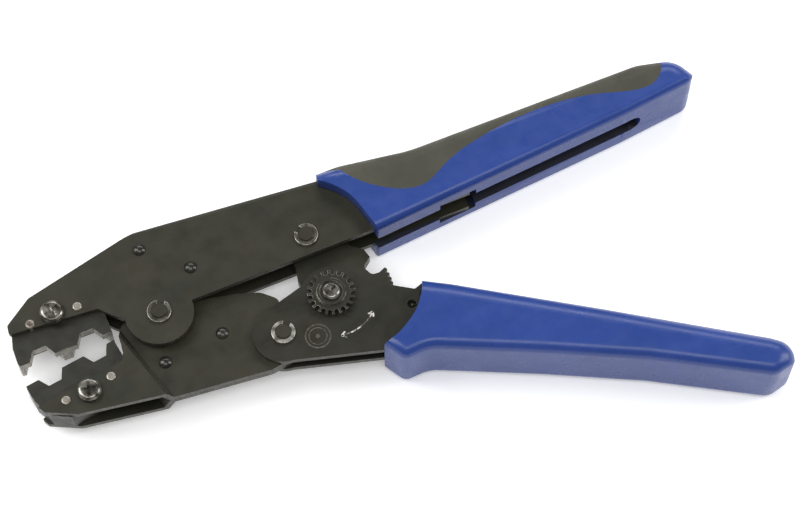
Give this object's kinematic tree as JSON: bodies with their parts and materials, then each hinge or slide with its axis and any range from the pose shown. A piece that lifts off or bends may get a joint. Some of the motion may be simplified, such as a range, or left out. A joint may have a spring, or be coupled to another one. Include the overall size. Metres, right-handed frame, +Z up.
{
  "type": "crimping tool",
  "caption": "Hand ratchet crimping tool, open: steel plate frame, moving jaw with hexagonal dies, toggle linkage, notched adjuster wheel and blue moulded grips.",
  "frame": {"origin": "the middle of the box around the tool, at the height of the surface that it lies on", "axes": "+Z is up, square to the tool's plates; +X runs from the jaws to the grips, along the parting line of the fixed die; +Y points to the back of the fixed frame"},
  "size_m": [0.2352, 0.1226, 0.0233],
  "materials": {
    "blackened_steel": "blackened sheet steel, satin",
    "black_oxide_fittings": "black oxide, semi-gloss",
    "bright_steel": "bright spring steel",
    "screws": "dark zinc plate",
    "die_steel": "hardened tool steel, dark faces, bare cavity walls",
    "grip_plastic": "blue moulded plastic, satin gloss",
    "grip_insert": "soft grey moulded insert"
  },
  "bodies": {
    "frame": {"stationary_frame": "blackened_steel", "frame_filler": "blackened_steel", "frame_rivets": "black_oxide_fittings", "upper_die": "die_steel", "upper_die_screw": "screws", "upper_die_dowels": "screws", "stationary_grip": "grip_plastic", "stationary_grip_insert": "grip_insert", "jaw_pivot_pin": "black_oxide_fittings", "jaw_pivot_rings": "bright_steel", "jaw_pivot_washers": "black_oxide_fittings", "link_pivot_pin": "black_oxide_fittings", "link_pivot_rings": "bright_steel", "link_pivot_washers": "black_oxide_fittings", "spring_anchor_pin": "black_oxide_fittings", "return_spring": "bright_steel"},
    "moving_jaw": {"jaw_plate_front": "blackened_steel", "jaw_plate_rear": "blackened_steel", "jaw_rivets": "black_oxide_fittings", "lower_die": "die_steel", "lower_die_screw": "screws", "lower_die_dowels": "screws", "handle_pivot_pin": "black_oxide_fittings", "handle_pivot_rings": "bright_steel"},
    "moving_handle": {"handle_plate_front": "blackened_steel", "handle_plate_rear": "blackened_steel", "handle_rivets": "blackened_steel", "moving_grip": "grip_plastic", "pawl_pin": "black_oxide_fittings", "pawl_spring": "bright_steel", "wheel_detent": "black_oxide_fittings"},
    "toggle_link": {"link_plate_front": "blackened_steel", "link_plate_rear": "blackened_steel", "link_rivet": "blackened_steel", "spring_hook_pin": "black_oxide_fittings"},
    "adjuster": {"eccentric_pin": "blackened_steel", "adjuster_wheel": "screws", "adjuster_screw": "screws"},
    "pawl": {"ratchet_pawl": "blackened_steel"}
  },
  "joints": [
    {"name": "jaw_pivot", "type": "hinge", "parent": "frame", "child": "moving_jaw", "pos_m": [-0.07122, 0.03233, 0.01165], "axis": [0, 0, -1], "range_deg": [0, 8]},
    {"name": "handle_pivot", "type": "hinge", "parent": "moving_jaw", "child": "moving_handle", "pos_m": [-0.03792, 0.01173, 0.01165], "axis": [0, 0, 1], "range_deg": [0, 25.4], "stiffness_Nm_per_rad": 0.6, "springref_deg": -17.19},
    {"name": "link_pivot", "type": "hinge", "parent": "frame", "child": "toggle_link", "pos_m": [-0.01932, 0.03913, 0.01165], "axis": [0, 0, -1], "range_deg": [0, 15.5]},
    {"name": "adjuster_turn", "type": "hinge", "parent": "moving_handle", "child": "adjuster", "pos_m": [-0.01937, 0.01788, 0.01165], "axis": [0, 0, 1], "range_deg": [-36, 36]},
    {"name": "pawl_pivot", "type": "hinge", "parent": "moving_handle", "child": "pawl", "pos_m": [0.00778, 0.00703, 0.01165], "axis": [0, 0, -1], "range_deg": [0, 50]}
  ],
  "couplings": [
    {"joint": "jaw_pivot", "follows": "handle_pivot", "ratio": 0.3143},
    {"joint": "link_pivot", "follows": "handle_pivot", "ratio": 0.607}
  ]
}
